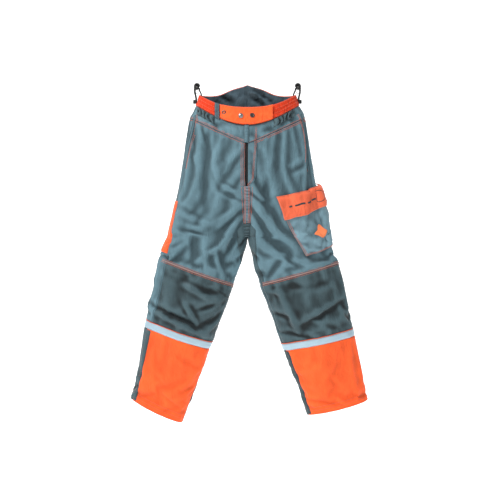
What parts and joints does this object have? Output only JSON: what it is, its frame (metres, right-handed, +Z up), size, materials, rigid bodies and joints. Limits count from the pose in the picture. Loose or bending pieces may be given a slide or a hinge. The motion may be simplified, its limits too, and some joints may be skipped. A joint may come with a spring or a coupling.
{
  "type": "chainsaw protective trousers",
  "caption": "Chainsaw protective trousers hung by two spring clips: open waist and legs, closing tab, zip fly, cargo pocket, reflective bands, layered leg protection.",
  "frame": {"origin": "on the level of the clips' pins, midway between the two clips, in the plane of the side folds", "axes": "+Z up; the trousers hang down from the origin; the front faces -Y; +X is the wearer's left"},
  "size_m": [0.8312, 0.1621, 1.191],
  "materials": {
    "grey_fabric": "matt woven",
    "dark_fabric": "matt woven, hard-wearing",
    "orange_fabric": "matt woven, high visibility",
    "lining_fabric": "matt lining",
    "protection_layers": "loose layered fibres",
    "reflective_tape": "retroreflective",
    "zip_tape": "moulded teeth on woven tape",
    "hook_and_loop": "hook and loop",
    "black_plastic": "moulded",
    "bright_steel": "bright",
    "dark_metal": "antique dark"
  },
  "bodies": {
    "trousers": {"front_yoke_right": "grey_fabric", "front_panel_right": "grey_fabric", "thigh_pad_right": "protection_layers", "slash_pocket_bag_right": "lining_fabric", "seat_panel_right": "dark_fabric", "side_flash": "orange_fabric", "knee_panel_right": "dark_fabric", "knee_pad_right": "protection_layers", "knee_back_panel_right": "dark_fabric", "front_yoke_left": "grey_fabric", "front_panel_left": "grey_fabric", "thigh_pad_left": "protection_layers", "slash_pocket_bag_left": "lining_fabric", "seat_panel_left": "dark_fabric", "knee_panel_left": "dark_fabric", "knee_pad_left": "protection_layers", "knee_back_panel_left": "dark_fabric", "waistband_front_right": "orange_fabric", "waistband_front_left": "orange_fabric", "waistband_back": "orange_fabric", "waistband_back_lining": "lining_fabric", "back_yoke": "dark_fabric", "press_stud_post_inner": "dark_metal", "press_stud_post_outer": "dark_metal", "belt_loop_front_right": "grey_fabric", "belt_loop_back_left": "orange_fabric", "belt_loop_back_centre": "orange_fabric", "belt_loop_back_right": "orange_fabric", "zip_side_right": "zip_tape", "zip_side_left": "zip_tape", "fly_facing": "grey_fabric", "cargo_pocket": "grey_fabric", "pocket_loop_strip": "hook_and_loop", "clip_body_right": "black_plastic", "clip_pin_right": "bright_steel", "clip_spring_right": "bright_steel", "clip_body_left": "black_plastic", "clip_pin_left": "bright_steel", "clip_spring_left": "bright_steel"},
    "right_shin": {"reflective_tape_right": "reflective_tape", "shin_panel_right": "orange_fabric", "shin_back_panel_right": "dark_fabric", "shin_pad_right": "protection_layers"},
    "left_shin": {"reflective_tape_left": "reflective_tape", "shin_panel_left": "orange_fabric", "shin_back_panel_left": "dark_fabric", "shin_pad_left": "protection_layers"},
    "tab": {"waist_tab": "orange_fabric", "tab_eyelet": "dark_metal", "press_stud_cap_inner": "dark_metal", "press_stud_cap_outer": "dark_metal", "press_stud_socket_inner": "dark_metal", "press_stud_socket_outer": "dark_metal"},
    "flap": {"cargo_flap": "orange_fabric", "flap_hook_strip": "hook_and_loop"},
    "slider": {"zip_slider": "bright_steel"},
    "puller": {"zip_puller": "bright_steel"},
    "clip_lever_right_body": {"clip_lever_right": "black_plastic"},
    "clip_lever_left_body": {"clip_lever_left": "black_plastic"}
  },
  "joints": [
    {"name": "right_knee_fold", "type": "hinge", "parent": "trousers", "child": "right_shin", "pos_m": [-0.2094, -0.025, -0.7407], "axis": [0.9613, 0, -0.2756], "range_deg": [0, 90], "deforming": ["knee_panel_right", "knee_back_panel_right", "knee_pad_right"]},
    {"name": "left_knee_fold", "type": "hinge", "parent": "trousers", "child": "left_shin", "pos_m": [0.213, -0.025, -0.7532], "axis": [0.9613, 0, 0.2756], "range_deg": [0, 90], "deforming": ["knee_panel_left", "knee_back_panel_left", "knee_pad_left"]},
    {"name": "tab_swing", "type": "hinge", "parent": "trousers", "child": "tab", "pos_m": [0.0868, -0.0682, -0.092], "axis": [0, 0.1288, 0.9917], "range_deg": [0, 110]},
    {"name": "flap_lift", "type": "hinge", "parent": "trousers", "child": "flap", "pos_m": [0.2343, -0.0518, -0.3416], "axis": [-0.8034, -0.5322, -0.2671], "range_deg": [0, 80]},
    {"name": "zip_slide", "type": "slide", "parent": "trousers", "child": "slider", "axis": [0, 0, -1], "range_m": [0, 0.16]},
    {"name": "puller_swing", "type": "hinge", "parent": "slider", "child": "puller", "pos_m": [-0.003, -0.0762, -0.151], "axis": [-1, 0, 0], "range_deg": [0, 150]},
    {"name": "clip_right_squeeze", "type": "hinge", "parent": "trousers", "child": "clip_lever_right_body", "pos_m": [-0.175, 0, 0.002], "axis": [0, -1, 0], "range_deg": [0, 15], "stiffness_Nm_per_rad": 0.4, "springref_deg": -20.05},
    {"name": "clip_left_squeeze", "type": "hinge", "parent": "trousers", "child": "clip_lever_left_body", "pos_m": [0.175, 0, 0.002], "axis": [0, 1, 0], "range_deg": [0, 15], "stiffness_Nm_per_rad": 0.4, "springref_deg": -20.05}
  ]
}
